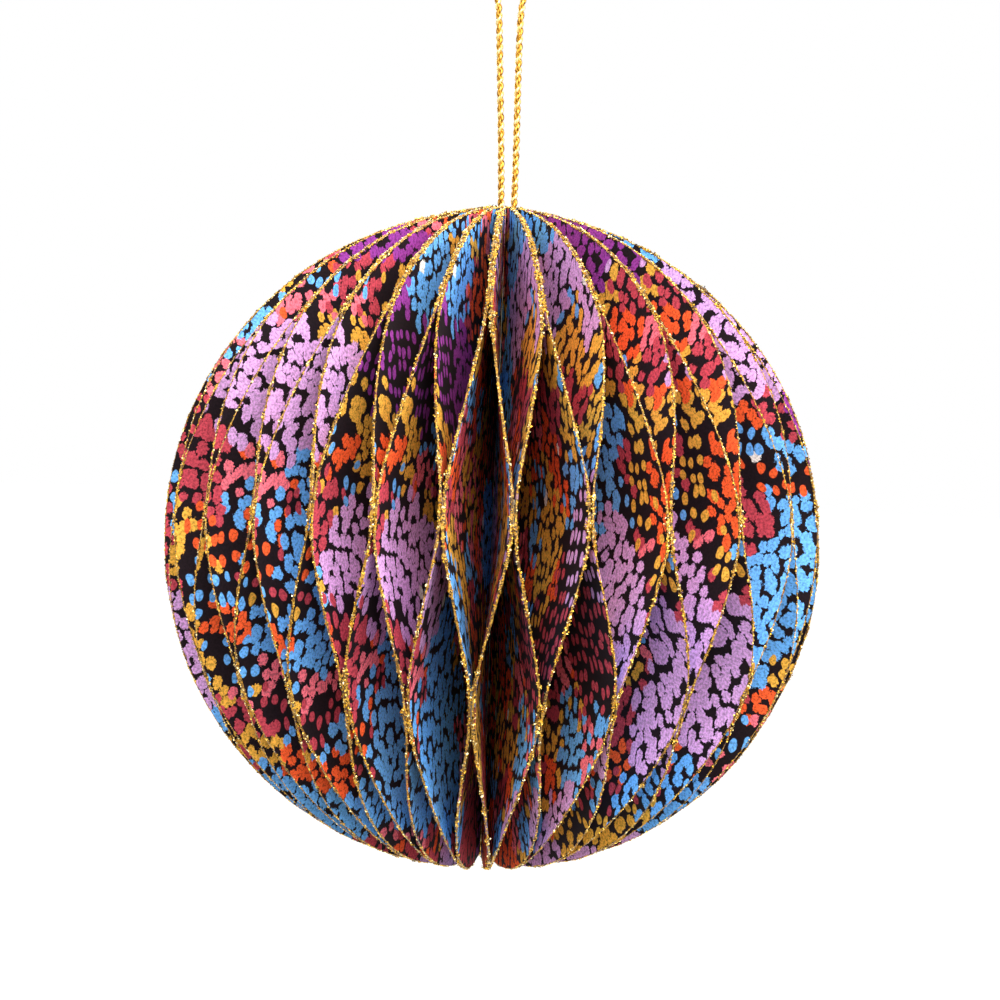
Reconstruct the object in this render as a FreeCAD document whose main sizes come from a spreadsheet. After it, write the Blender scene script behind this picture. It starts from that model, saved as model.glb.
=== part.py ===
# Honeycomb paper ball, a hanging bauble: a fan of paper half discs, glued in turn to the
# neighbour on one side and on the other, and opened round a hollow spine until it closes.
# Frame: millimetres, +Z up along the spine, origin at the ball's centre, front towards -Y.

import FreeCAD, Part
import math
import os

import Sketcher
from FreeCAD import Placement, Rotation, Vector

doc = FreeCAD.newDocument("honeycomb_paper_ball")

# ---------------------------------------------------------------- driving dimensions

sizes = doc.addObject("Spreadsheet::Sheet", "sizes")
DIMENSIONS = [
    ("ball_diameter", 80.0, "across the rims of the open ball"),
    ("leaf_count", 56, "half discs in the fan, an even number"),
    ("paper_thickness", 0.2, "one leaf of printed paper"),
    ("spine_film", 0.02, "glue between two leaves at the spine"),
    ("rim_film", 0.2, "glue and grit between two leaves at the rim"),
    ("unevenness", 0.25, "how much closer than the mean the tightest leaves of the fan are"),
    ("tight_direction", -102.0, "degrees from +X to the middle of the tightest part of the fan"),
    ("spot_pitch", 19.9, "height from a glue spot to the next one, on the leaf's other side"),
    ("spot_height", 5.5, "height of one glue spot"),
    ("middle_spot_level", 5.8, "level of the glue spots nearest the equator"),
    ("spot_wander", 0.9, "how far a glue spot strays up or down from its level"),
    ("binding_wall", 0.45, "wall of the glue binding that lines the hollow spine"),
    ("binding_fit", 0.03, "room between the binding and the leaves' inner edges"),
    ("pocket_depth", 6.0, "depth of the notch under the binding, from the rim's level"),
    ("cord_diameter", 0.9, "twisted metallic cord"),
    ("knot_diameter", 5.2, "overhand knot in the doubled cord"),
    ("knot_height", 3.6, "the knot along the spine"),
    ("knot_round", 0.4, "rounding of the knot's ends"),
    ("knot_fit", 0.25, "room round the knot in its pocket"),
]
for row, (alias, number, note) in enumerate(DIMENSIONS, start=1):
    sizes.set(f"A{row}", alias)
    sizes.set(f"B{row}", str(number))
    sizes.setAlias(f"B{row}", alias)
    sizes.set(f"C{row}", note)
doc.recompute()


def size(alias):
    return float(sizes.get(alias))


ball_radius = size("ball_diameter") / 2
leaf_count = int(size("leaf_count"))
paper = size("paper_thickness")
step = 2 * math.pi / leaf_count

# The leaves close up round the spine until the tightest of them touch.
SPINE_RADIUS = (
    "sizes.leaf_count * (sizes.paper_thickness + sizes.spine_film)"
    " / (2 * pi * (1 - sizes.unevenness))"
)
spine_radius = (paper + size("spine_film")) / (step * (1 - size("unevenness")))
pocket_radius = max(spine_radius, size("knot_diameter") / 2 + size("knot_fit"))
pocket_floor = size("pocket_depth") - math.sqrt(ball_radius**2 - spine_radius**2)


# ---------------------------------------------------------------- the leaves


def plane_angle(index):
    """Direction of the plane where two leaves meet, in radians from +X.

    The fan isn't opened evenly: its leaves are tightest towards one side and the side
    opposite, and widest between them.
    """
    turn = (index + 1) * step
    return math.radians(size("tight_direction")) + turn - size("unevenness") / 2 * math.sin(2 * turn)


def glue_spots():
    """(number, level) of each row of glue spots from the bottom up.

    Even rows hold the leaves on both sides of the even planes together, odd rows those
    on both sides of the odd planes.
    """
    lowest = math.ceil((-ball_radius - size("middle_spot_level")) / size("spot_pitch"))
    highest = math.floor((ball_radius - size("middle_spot_level")) / size("spot_pitch"))
    levels = range(lowest, highest + 1)
    return [(n, size("middle_spot_level") + n * size("spot_pitch")) for n in levels]


def spot_stray(plane):
    """Height by which one plane's glue spots miss their level, the same on both its leaves."""
    around = plane % leaf_count
    return size("spot_wander") * math.sin(2.4 * around) * math.cos(0.7 * around)


def leaf_levels(leaf):
    """(level, side) from the bottom up: side 0 where the leaf lies against its own plane,
    1 where it lies against the next one. The rows nearest the poles run on to the poles."""
    beyond = ball_radius + paper
    spots = glue_spots()
    levels = []
    for place, (number, level) in enumerate(spots):
        side = 0 if number % 2 == leaf % 2 else 1
        middle = level + spot_stray(leaf + side)
        low = -beyond if place == 0 else middle - size("spot_height") / 2
        high = beyond if place == len(spots) - 1 else middle + size("spot_height") / 2
        if place == 0:
            high = middle
        if place == len(spots) - 1:
            low = middle
        levels += [(low, side), (high, side)]
    return levels


def leaf_corners(side, opening):
    """The four corners of a level cut through a leaf that lies against its own plane
    (side 0) or against the next (side 1), with its own plane along +X.

    The cut runs from inside the hollow spine to outside the rim, and the trimming leaves
    it between the two.
    """
    angle = opening if side else 0.0
    lean = -1 if side else 1
    along = Vector(math.cos(angle), math.sin(angle), 0)
    across = Vector(-math.sin(angle), math.cos(angle), 0) * lean
    inner, outer = spine_radius / 2, ball_radius + paper
    wedge = (size("rim_film") - size("spine_film")) / (ball_radius - spine_radius)

    def film(radius):
        return (size("spine_film") + wedge * (radius - spine_radius)) / 2

    near = [along * radius + across * film(radius) for radius in (inner, outer)]
    far = [point + across * paper for point in near]
    faces = (near, far) if lean > 0 else (far, near)
    return [faces[0][0], faces[0][1], faces[1][1], faces[1][0]]


def leaf_blank(opening):
    """The half disc that a leaf is cut to, as thick as the space between its two planes:
    notched at the foot of its straight edge, where the knot sits."""
    spare = step / 4
    foot = math.sqrt(ball_radius**2 - pocket_radius**2)
    head = math.sqrt(ball_radius**2 - spine_radius**2)
    outline = [
        Part.Arc(
            Vector(pocket_radius, 0, -foot), Vector(ball_radius, 0, 0), Vector(spine_radius, 0, head)
        ).toShape(),
        Part.makeLine(Vector(spine_radius, 0, head), Vector(spine_radius, 0, pocket_floor)),
    ]
    if pocket_radius > spine_radius:
        notch = Vector(pocket_radius, 0, pocket_floor)
        outline.append(Part.makeLine(Vector(spine_radius, 0, pocket_floor), notch))
        outline.append(Part.makeLine(notch, Vector(pocket_radius, 0, -foot)))
    half_disc = Part.Face(Part.Wire(outline))
    half_disc.rotate(Vector(0, 0, 0), Vector(0, 0, 1), -math.degrees(spare))
    return half_disc.revolve(Vector(0, 0, 0), Vector(0, 0, 1), math.degrees(opening + 2 * spare))


def leaf_shape(leaf):
    """One half disc of paper, waving from its own plane to the next and back, with its
    own plane along +X."""
    opening = plane_angle(leaf + 1) - plane_angle(leaf)
    cuts = []
    for level, side in leaf_levels(leaf):
        corners = [point + Vector(0, 0, level) for point in leaf_corners(side, opening)]
        cuts.append(Part.makePolygon(corners + corners[:1]))
    waving = Part.makeLoft(cuts, True, True)
    trimmed = waving.common(leaf_blank(opening))
    return trimmed.Solids[0]


leaves = []
for leaf in range(leaf_count):
    feature = doc.addObject("Part::Feature", f"Leaf{leaf + 1:02d}")
    feature.Label = f"leaf_{leaf + 1:02d}"
    feature.Shape = leaf_shape(leaf)
    turned = Rotation(Vector(0, 0, 1), math.degrees(plane_angle(leaf)))
    feature.Placement = Placement(Vector(0, 0, 0), turned)
    leaves.append(feature)


# ---------------------------------------------------------------- the spine's glue binding


def round_sketch(body, name, radii):
    """A sketch of circles about the spine, each radius bound to an expression."""
    sketch = body.newObject("Sketcher::SketchObject", name)
    level_plane = [p for p in body.Origin.OriginFeatures if p.Role == "XY_Plane"][0]
    sketch.AttachmentSupport = [(level_plane, "")]
    sketch.MapMode = "FlatFace"
    for number, expression in enumerate(radii):
        sketch.addGeometry(Part.Circle(Vector(0, 0, 0), Vector(0, 0, 1), 1.0 + number), False)
        sketch.addConstraint(Sketcher.Constraint("Coincident", number, 3, -1, 1))
        radius = sketch.addConstraint(Sketcher.Constraint("Radius", number, 1.0 + number))
        sketch.setExpression(f"Constraints[{radius}]", expression)
    return sketch


HEAD_LEVEL = f"sqrt((sizes.ball_diameter / 2)^2 - ({SPINE_RADIUS})^2)"
FLOOR_LEVEL = f"sizes.pocket_depth - {HEAD_LEVEL}"

binding = doc.addObject("PartDesign::Body", "SpineBinding")
binding.Label = "spine_binding"
binding_rings = round_sketch(
    binding,
    "BindingRings",
    [
        f"{SPINE_RADIUS} - sizes.binding_fit",
        f"{SPINE_RADIUS} - sizes.binding_fit - sizes.binding_wall",
    ],
)
binding_tube = binding.newObject("PartDesign::Pad", "BindingTube")
binding_tube.Profile = binding_rings
binding_tube.setExpression("Length", f"2 * {HEAD_LEVEL} - 2 * sizes.pocket_depth")
binding.setExpression("Placement.Base.z", FLOOR_LEVEL)

# ---------------------------------------------------------------- the knot

knot = doc.addObject("PartDesign::Body", "CordKnot")
knot.Label = "cord_knot"
knot_ring = round_sketch(knot, "KnotRing", ["sizes.knot_diameter / 2"])
knot_drum = knot.newObject("PartDesign::Pad", "KnotDrum")
knot_drum.Profile = knot_ring
knot_drum.setExpression("Length", "sizes.knot_height")
doc.recompute()
rims = [
    f"Edge{number}"
    for number, edge in enumerate(knot_drum.Shape.Edges, start=1)
    if isinstance(edge.Curve, Part.Circle)
]
knot_rounding = knot.newObject("PartDesign::Fillet", "KnotRounding")
knot_rounding.Base = (knot_drum, rims)
knot_rounding.setExpression("Radius", "sizes.knot_round")
knot.setExpression("Placement.Base.z", f"{FLOOR_LEVEL} - sizes.binding_fit - sizes.knot_height")
knot_top = pocket_floor - size("binding_fit")

# ---------------------------------------------------------------- the cord

# From the knot up through the spine, over the loop and back down: (across, height).
cord_route = [
    Vector(-0.75, 0, knot_top),
    Vector(-0.75, 0, 3.0),
    Vector(-0.5, 0, 39.5),
    Vector(-1.3, 0, 60.0),
    Vector(-1.65, 0, 67.5),
    Vector(-3.3, 0, 72.3),
    Vector(-3.2, 0, 75.9),
    Vector(-0.15, 0, 77.7),
    Vector(2.9, 0, 76.0),
    Vector(3.0, 0, 72.4),
    Vector(1.25, 0, 67.5),
    Vector(1.05, 0, 60.0),
    Vector(1.1, 0, 39.5),
    Vector(0.85, 0, 2.0),
    Vector(0.85, 0, knot_top),
]


def rounded_path(points):
    """Straight runs joined by tangent arcs, each as large as its two runs allow."""
    edges = []
    radii = []
    start = points[0]
    for before, corner, after in zip(points, points[1:], points[2:]):
        back = (before - corner).normalize()
        ahead = (after - corner).normalize()
        half_turn = (math.pi - back.getAngle(ahead)) / 2
        reach = 0.45 * min((before - corner).Length, (after - corner).Length)
        radius = reach / math.tan(half_turn)
        centre = corner + (back + ahead).normalize() * (radius / math.cos(half_turn))
        middle = centre + (corner - centre).normalize() * radius
        enter, leave = corner + back * reach, corner + ahead * reach
        edges.append(Part.LineSegment(start, enter).toShape())
        edges.append(Part.Arc(enter, middle, leave).toShape())
        radii.append(radius)
        start = leave
    edges.append(Part.LineSegment(start, points[-1]).toShape())
    return Part.Wire(edges), radii


cord_path, cord_radii = rounded_path(cord_route)
cord_section = Part.Wire(
    Part.makeCircle(size("cord_diameter") / 2, cord_route[0], cord_route[1] - cord_route[0])
)
cord = doc.addObject("Part::Feature", "HangingCord")
cord.Label = "hanging_cord"
cord.Shape = cord_path.makePipeShell([cord_section], True, False)
cord.Placement = Placement(Vector(0, 0, 0), Rotation())

# ---------------------------------------------------------------- checks and export

doc.recompute()
for thing in doc.Objects:
    if "Invalid" in thing.State or "Error" in thing.State:
        raise RuntimeError(f"{thing.Name} failed: {thing.State}")

nodes = leaves + [binding, knot, cord]
for node in nodes:
    if node.Shape.isNull() or not node.Shape.isValid() or len(node.Shape.Solids) != 1:
        raise RuntimeError(f"{node.Label} isn't one valid solid")

os.makedirs("parts", exist_ok=True)
for node in nodes:
    node.Shape.exportStep(f"parts/{node.Label}.step")

expected = math.pi * (size("cord_diameter") / 2) ** 2 * cord_path.Length
print(f"cord length {cord_path.Length:.2f} mm, radii {[round(r, 1) for r in cord_radii]}")
print(f"cord volume {cord.Shape.Volume:.3f}, section times length {expected:.3f} mm3")
print(f"{len(nodes)} nodes, spine radius {spine_radius:.2f} mm")
print(f"paper volume {sum(leaf.Shape.Volume for leaf in leaves):.0f} mm3")
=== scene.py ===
# %% [markdown]
# # A honeycomb paper ball
#
# This bauble is a stack of 56 printed paper half discs. Each one is glued to the leaf on its
# left at some heights and to the leaf on its right at others, like the cells of a honeycomb.
# Opened round its straight edge, the stack closes into a ball. The rims are dipped in gold
# glitter, and the ball hangs from a loop of twisted gold cord that is knotted below the spine.
#
# The solids of every part come first, as a fixed frame. The frame says where each part is, and
# this script dresses the parts: it never moves them. Lengths are in metres, and in millimetres
# where a name ends in MM.

# %% Load the frame
import math

import bpy
import numpy as np
from mathutils import Matrix, Vector
from mathutils.bvhtree import BVHTree


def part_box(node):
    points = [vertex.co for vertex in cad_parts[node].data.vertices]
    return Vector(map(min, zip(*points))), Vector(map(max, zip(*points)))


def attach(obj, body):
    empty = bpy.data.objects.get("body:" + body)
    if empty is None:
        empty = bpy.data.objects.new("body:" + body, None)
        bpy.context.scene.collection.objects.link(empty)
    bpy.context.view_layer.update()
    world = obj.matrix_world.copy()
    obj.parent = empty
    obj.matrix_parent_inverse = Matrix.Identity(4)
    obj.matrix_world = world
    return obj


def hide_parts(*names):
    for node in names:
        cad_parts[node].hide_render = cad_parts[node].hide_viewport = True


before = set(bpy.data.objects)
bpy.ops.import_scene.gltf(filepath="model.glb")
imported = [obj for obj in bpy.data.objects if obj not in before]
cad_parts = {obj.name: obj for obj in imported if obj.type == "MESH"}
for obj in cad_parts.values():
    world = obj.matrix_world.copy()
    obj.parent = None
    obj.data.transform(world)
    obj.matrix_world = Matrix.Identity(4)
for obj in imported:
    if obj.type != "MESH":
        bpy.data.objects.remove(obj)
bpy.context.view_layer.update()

# %% Measure the ball
MM = 0.001

leaf_names = sorted(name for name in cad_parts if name.startswith("leaf_"))
leaf_boxes = np.array([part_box(name) for name in leaf_names])
ball_low, ball_high = leaf_boxes[:, 0].min(0), leaf_boxes[:, 1].max(0)
ball_middle = Vector((ball_low + ball_high) / 2)
ball_radius = float((ball_high - ball_low)[:2].max()) / 2
print(f"{len(leaf_names)} leaves make a ball of {2 * ball_radius / MM:.1f} mm")

# %% [markdown]
# ## The camera
#
# A small object is often shot from close by, and that shows: the near rims spread and the poles
# fall back. So the camera stands only four ball radii from the middle, a little above it. It is
# turned as on a tripod: it looks at the middle, then its head is tilted, and then swung up and
# to the right a little so that the cord has room above the ball.

# %% Set the camera
SENSOR_MM, LENS_MM = 36, 45.7
BALL_RADII_AWAY = 4
RISE, TILT, SWING_UP, SWING_RIGHT = (math.radians(a) for a in (4.9, 2.07, 1.84, -0.34))

camera_data = bpy.data.cameras.new("studio_camera")
camera_data.sensor_width, camera_data.lens = SENSOR_MM, LENS_MM
camera_data.clip_start, camera_data.clip_end = 0.01, 20
camera = bpy.data.objects.new("studio_camera", camera_data)
bpy.context.scene.collection.objects.link(camera)
bpy.context.scene.camera = camera

back = Vector((0, -math.cos(RISE), math.sin(RISE)))
turned = (
    (-back).to_track_quat("-Z", "Y").to_matrix()
    @ Matrix.Rotation(TILT, 3, "Z")
    @ Matrix.Rotation(SWING_UP, 3, "X")
    @ Matrix.Rotation(SWING_RIGHT, 3, "Y")
)
stands_at = Matrix.Translation(ball_middle + back * BALL_RADII_AWAY * ball_radius)
camera.matrix_world = stands_at @ turned.to_4x4()
print(f"camera {LENS_MM} mm at {tuple(round(x, 4) for x in camera.location)}")

# %% [markdown]
# ## One helper for every material
#
# Materials here are built from nodes. One small function adds a node, sets it and links it, so
# that each material reads as a list of steps. Colours are written as the hex codes that a
# designer would use. Those are sRGB, and Blender calculates with linear light, so a second
# function turns them.


# %% Node and colour helpers
def linear(code):
    """An sRGB hex colour as linear red, green, blue and alpha."""
    parts = [int(code[i : i + 2], 16) / 255 for i in (1, 3, 5)]
    return [c / 12.92 if c <= 0.04045 else ((c + 0.055) / 1.055) ** 2.4 for c in parts] + [1]


def add(tree, kind, settings=None, links=None):
    """Adds a node. A setting is one of the node's own, an input by name or number, or stops,
    the (place, colour) list of a ramp. Links give the output that feeds each input."""
    node = tree.nodes.new("ShaderNode" + kind)
    for key, value in (settings or {}).items():
        if key == "stops":
            elements = node.color_ramp.elements
            while len(elements) < len(value):
                elements.new(1)
            for element, (place, colour) in zip(elements, value):
                element.position, element.color = place, linear(colour)
        elif key == "steps":
            node.color_ramp.interpolation = value
        elif isinstance(key, str) and hasattr(node, key):
            setattr(node, key, value)
        else:
            node.inputs[key].default_value = value
    for key, output in (links or {}).items():
        tree.links.new(output, node.inputs[key])
    return node


def new_material(name):
    """A material with an empty node tree, and that tree."""
    material = bpy.data.materials.new(name)
    material.use_nodes = True
    material.node_tree.nodes.clear()
    return material, material.node_tree


print("gold as linear light:", [round(c, 3) for c in linear("#E3A72F")[:3]])

# %% [markdown]
# ## Twisted metallised cord
#
# Gift cord like this is two plies of metallised film yarn, twisted together: a full one in deep
# gold and a thinner one in pale gold, so that it looks banded. Film wrapped on yarn gives bright
# glints with amber between them, so it is nearly a metal, but not as smooth as one. The darkest
# brown in the yarns' colour is painted shade, laid along the threads and the crumple of the film.
# Each ply is itself a bundle of wrapped threads, about 0.12 mm apart. That is too fine to show
# from here, so the threads are drawn 0.25 mm apart.

# %% Metallised yarn materials
THREAD_MM, CRUMPLE_MM = 0.25, 0.4
WAVE_BAND = 0.31  # a wave texture of scale 1 has a band every 0.31
THREAD_SHARE = 0.35
# Each ramp is the film's own gold, and its darkest brown stop is painted shade.
YARNS = {
    "deep_gold_film_yarn": [
        (0.35, "#3A2002"),
        (0.5, "#86560A"),
        (0.68, "#C58A28"),
        (0.9, "#EEC05A"),
    ],
    "pale_gold_film_yarn": [
        (0.3, "#A8812F"),
        (0.5, "#D2AF58"),
        (0.7, "#EACC80"),
        (0.9, "#F9E9AE"),
    ],
}

yarns = []
for name, golds_and_painted_shade in YARNS.items():
    yarn, tree = new_material(name)
    ply_map = add(tree, "UVMap", {"uv_map": "ply"})
    threads = add(
        tree,
        "TexWave",
        {"bands_direction": "DIAGONAL", "Scale": WAVE_BAND / THREAD_MM, "Distortion": 1.2},
        {"Vector": ply_map.outputs["UV"]},
    )
    crumple = add(
        tree,
        "TexNoise",
        {"Scale": 1 / CRUMPLE_MM, "Detail": 3.0},
        {"Vector": ply_map.outputs["UV"]},
    )
    mixed = add(
        tree,
        "Math",
        {"operation": "MULTIPLY_ADD", 1: THREAD_SHARE},
        {0: threads.outputs["Fac"], 2: crumple.outputs["Fac"]},
    )
    film_and_painted_shade = add(tree, "ValToRGB", {"stops": golds_and_painted_shade}, {0: mixed.outputs[0]})
    ridges = add(
        tree, "Bump", {"Strength": 0.5, "Distance": 0.03 * MM}, {"Height": threads.outputs["Fac"]}
    )
    shader = add(
        tree,
        "BsdfPrincipled",
        {"Metallic": 0.8, "Roughness": 0.34},
        {"Base Color": film_and_painted_shade.outputs[0], "Normal": ridges.outputs[0]},
    )
    add(tree, "OutputMaterial", links={"Surface": shader.outputs[0]})
    yarns.append(yarn)
print(f"{len(yarns)} yarns, threads {THREAD_MM} mm apart")

# %% [markdown]
# ## The hanging cord
#
# One cord runs from the knot up through the hollow spine, over the loop and back down. Its line
# is a NURBS curve, which bends as smoothly as cord does. The plies are not painted on: each is
# a tube that winds round that line, so the outline has the knuckles of real twisted cord. To
# wind round a curve, a tube needs a frame that travels along it without spinning, and each new
# direction is found by turning the last one just enough to stay square to the line.

# %% The cord's line
CORD_DIAMETER = 0.9 * MM

knot_low, knot_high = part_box("cord_knot")
# Across and up, in millimetres: up one leg, over the loop and down the other.
route = [
    (-0.75, knot_high.z / MM),
    (-0.75, 3.0),
    (-0.33, 39.5),
    (-0.7, 49.0),
    (-1.35, 62.0),
    (-1.68, 67.5),
    (-3.3, 72.3),
    (-3.2, 75.9),
    (-0.15, 77.7),
    (2.9, 76.0),
    (3.0, 72.4),
    (1.22, 67.5),
    (1.05, 61.0),
    (1.2, 49.0),
    (1.16, 39.5),
    (0.85, 2.0),
    (0.85, knot_high.z / MM),
]
cord_curve = bpy.data.curves.new("cord_line", "CURVE")
cord_curve.dimensions = "3D"
cord_curve.resolution_u = 24
spline = cord_curve.splines.new("NURBS")
spline.points.add(len(route) - 1)
for point, (across, height) in zip(spline.points, route):
    point.co = (across * MM, 0, height * MM, 1)
spline.order_u = 3
spline.use_endpoint_u = True
cord_line = bpy.data.objects.new("cord_line", cord_curve)
bpy.context.scene.collection.objects.link(cord_line)
line_mesh = bpy.data.meshes.new_from_object(cord_line)
cord_points = np.array([v.co for v in line_mesh.vertices])
bpy.data.objects.remove(cord_line)


# %% Points, directions and rings along a line
def evenly(points, spacing):
    """The same line with points a fixed distance apart, and the distance along it."""
    gone = np.r_[0, np.cumsum(np.linalg.norm(np.diff(points, axis=0), axis=1))]
    wanted = np.linspace(0, gone[-1], int(gone[-1] / spacing) + 2)
    return np.stack([np.interp(wanted, gone, points[:, k]) for k in range(3)], 1), wanted


def side_directions(points):
    """Two directions square to the line at each point, carried along without spinning."""
    ahead = np.gradient(points, axis=0)
    ahead /= np.linalg.norm(ahead, axis=1)[:, None]
    side = np.cross(ahead[0], (0.3, 0.9, 0.2))  # any direction but the line's own will do
    sides = []
    for direction in ahead:
        side = side - direction * side.dot(direction)
        side = side / np.linalg.norm(side)
        sides.append(side)
    sides = np.array(sides)
    return sides, np.cross(ahead, sides)


def ring_offsets(one, two, sides):
    """From each point of a line to the corners of a ring that two directions span."""
    angle = (2 * math.pi * np.arange(sides) / sides)[None, :, None]
    return np.cos(angle) * one[:, None] + np.sin(angle) * two[:, None]


def tube_quads(steps, sides):
    """The quads between rings, and the row and the column of each."""
    row, column = np.meshgrid(np.arange(steps - 1), np.arange(sides), indexing="ij")
    near, far = row * sides + column, row * sides + (column + 1) % sides
    quads = np.stack([near, far, far + sides, near + sides], -1).reshape(-1, 4)
    return quads, row, column


print(f"in steps of 1 mm the cord's line has {len(evenly(cord_points, MM)[1])} points")

# %% Two plies twisted together
PLY_SHARES = (0.32, 0.25)
PLY_SIDES, PLY_STEPS = 8, 12


def plies(points, diameter, lay):
    """Vertices, faces, corner UVs and each face's ply, for two plies twisted together along a
    line. lay is the length of one full turn. The UVs run in millimetres along and round a ply."""
    line, gone = evenly(points, lay / PLY_STEPS)
    one, two = side_directions(line)
    quads, row, column = tube_quads(len(line), PLY_SIDES)
    vertices, faces, uvs, owners = [], [], [], []
    for ply, share in enumerate(PLY_SHARES):
        turn = 2 * math.pi * (gone / lay + ply / len(PLY_SHARES))
        ply_radius = share * diameter
        away = diameter / 2 - ply_radius
        centre = line + away * (np.cos(turn)[:, None] * one + np.sin(turn)[:, None] * two)
        ring = ring_offsets(*side_directions(centre), PLY_SIDES)
        vertices.append((centre[:, None] + ply_radius * ring).reshape(-1, 3))
        start = ply * len(line) * PLY_SIDES
        last = start + (len(line) - 1) * PLY_SIDES
        ends = [list(range(corner, corner + PLY_SIDES)) for corner in (start, last)]
        faces += (quads + start).tolist() + [ends[0][::-1], ends[1]]
        side_mm = ply_radius * 2 * math.pi / PLY_SIDES / MM
        u = np.stack([gone[row], gone[row], gone[row + 1], gone[row + 1]], -1) / MM
        v = np.stack([column, column + 1, column + 1, column], -1) * side_mm
        uvs += [np.stack([u, v], -1).reshape(-1, 2), np.zeros((2 * PLY_SIDES, 2))]
        owners += [ply] * (len(quads) + 2)
    return np.concatenate(vertices), faces, np.concatenate(uvs), owners


full_ply, thin_ply = (2 * share * CORD_DIAMETER / MM for share in PLY_SHARES)
print(f"the plies are {full_ply:.2f} and {thin_ply:.2f} mm thick")

# %% Twist the cord
CORD_LAY = 1.9 * MM


def new_piece(name, vertices, faces, materials, uv_name=None, uvs=None, owners=None):
    """A mesh object that rides with the ball."""
    mesh = bpy.data.meshes.new(name)
    mesh.from_pydata(np.asarray(vertices).tolist(), [], faces)
    if uv_name:
        mesh.uv_layers.new(name=uv_name).uv.foreach_set("vector", uvs.astype(np.float32).ravel())
    for material in materials:
        mesh.materials.append(material)
    if owners:
        mesh.polygons.foreach_set("material_index", owners)
    piece = bpy.data.objects.new(name, mesh)
    bpy.context.scene.collection.objects.link(piece)
    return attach(piece, "root")


vertices, faces, uvs, owners = plies(cord_points, CORD_DIAMETER, CORD_LAY)
cord = new_piece("twisted_gold_cord", vertices, faces, yarns, "ply", uvs, owners)
cord.data.shade_smooth()
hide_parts("hanging_cord")

# %% [markdown]
# ## The knot
#
# Both ends of the cord are tied in one overhand knot. It sits in the notch under the spine and
# carries the ball. An overhand knot pulled tight is a trefoil: a line that goes twice round a
# ring while it weaves up and down three times. Here the two strands lie side by side all the
# way, so the trefoil is made once for each strand, the second a little above the first. The two
# cut ends point down, and the longer one just shows at the foot of the ball.

# %% Tie the knot
KNOT_STEPS, TAIL_STEPS = 240, 8
STRAND_LAG = 0.35
TAIL_SHARE, TAIL_START_MM = 0.85, 0.5
# Across where it leaves the knot, across at its cut end, and how far it hangs below the knot.
TAILS_MM = ((-0.4, -0.12, 2.7), (0.4, 0.55, 1.8))

knot_middle = (knot_low + knot_high) / 2
knot_radius = (knot_high.x - knot_low.x) / 2
knot_room = (knot_high.z - knot_low.z) / 2
strand = CORD_DIAMETER / 2
reach = (knot_radius - strand) / 3
weave = knot_room - 2 * strand
once_round = np.linspace(0, 2 * math.pi, KNOT_STEPS, endpoint=False)
knot_parts = []
for lift, lag in ((-1, 0.0), (1, STRAND_LAG)):
    t = once_round + lag
    loop = np.stack(
        [
            reach * (np.sin(t) + 2 * np.sin(2 * t)),
            reach * (np.cos(t) - 2 * np.cos(2 * t)),
            -weave * np.sin(3 * t) + lift * strand,
        ],
        1,
    )
    knot_parts.append(plies(np.vstack([loop, loop[:1]]) + knot_middle, CORD_DIAMETER, CORD_LAY))
for top, end, hang in TAILS_MM:
    tail_top = Vector((top, 0, knot_low.z / MM + TAIL_START_MM))
    tail_end = Vector((end, 0, knot_low.z / MM - hang))
    tail = np.linspace(tail_top * MM, tail_end * MM, TAIL_STEPS)
    knot_parts.append(plies(tail, TAIL_SHARE * CORD_DIAMETER, CORD_LAY))
print(f"{len(knot_parts)} lengths of cord in a knot {2 * knot_radius / MM:.1f} mm across")

vertices, faces, uvs, owners, count = [], [], [], [], 0
for made, joined, mapped, owned in knot_parts:
    vertices.append(made)
    faces += [[i + count for i in face] for face in joined]
    uvs.append(mapped)
    owners += owned
    count += len(made)
knot = new_piece(
    "overhand_knot", np.vstack(vertices), faces, yarns, "ply", np.vstack(uvs), owners
)
knot.data.shade_smooth()
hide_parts("cord_knot")
print(
    f"{knot.name} from {knot_low.z / MM:.1f} to {knot_high.z / MM:.1f} mm, "
    f"{len(knot.data.polygons)} faces"
)

# %% [markdown]
# ## Printed paper
#
# The leaves are cut from heavy uncoated art paper, printed on both faces in flat inks over a
# near-black ground. Uncoated paper scatters light evenly, so it has no shine to speak of, and
# its felt side leaves a fine tooth that makes flat ink look slightly mottled.
#
# The print is made of small rounded dabs of ink, about 1.3 mm across, that run together into
# larger shapes. A Voronoi texture gives such dabs: every cell is one dab, drawn where the
# distance to the cell's point is small. Where two dabs meet, the one whose ink was printed later
# lies on top, so the second nearest point (F2) is needed as well as the nearest (F1).
#
# To keep one colour within a dab, the colour isn't looked up at the shaded spot but at the
# cell's point, in a coarser Voronoi texture whose cells are the fields of colour. Nearly half of
# the broad fields are calm, in one ink, often lilac or red. In the busy ones, a finer texture
# changes the ink every few millimetres, often to yellow or orange. Where a field is dotted, rows
# of small separate dots take the place of the dabs.
#
# Before that, the cell's point is snapped to 0.01 mm, because rounding could otherwise give one
# dab two chances, and it strays up to 2 mm, which makes the border of a field ragged.

# %% Printed art paper material
DAB_MM, DAB_SCATTER = (1.22, 1.42), 0.8
DOT_MM, DOT_SCATTER = (1.4, 1.95), 0.45
BROAD_MM, FINE_MM = 12.0, 4.2
DRIFT_MM, DRIFT_EVERY_MM = 2.2, 6
STRAY_MM, SNAP_MM = 2.0, 0.01
TOOTH_MM, SWELL_MM = 0.3, 2.2
# Every cell draws its chances between 0 and 1. A broad field is busy above the first of these,
# a field is dotted above the second, and a dab is left bare above the third.
BUSY_FROM, DOTTED_FROM, BARE_FROM = 0.44, 0.82, 0.995
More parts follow.
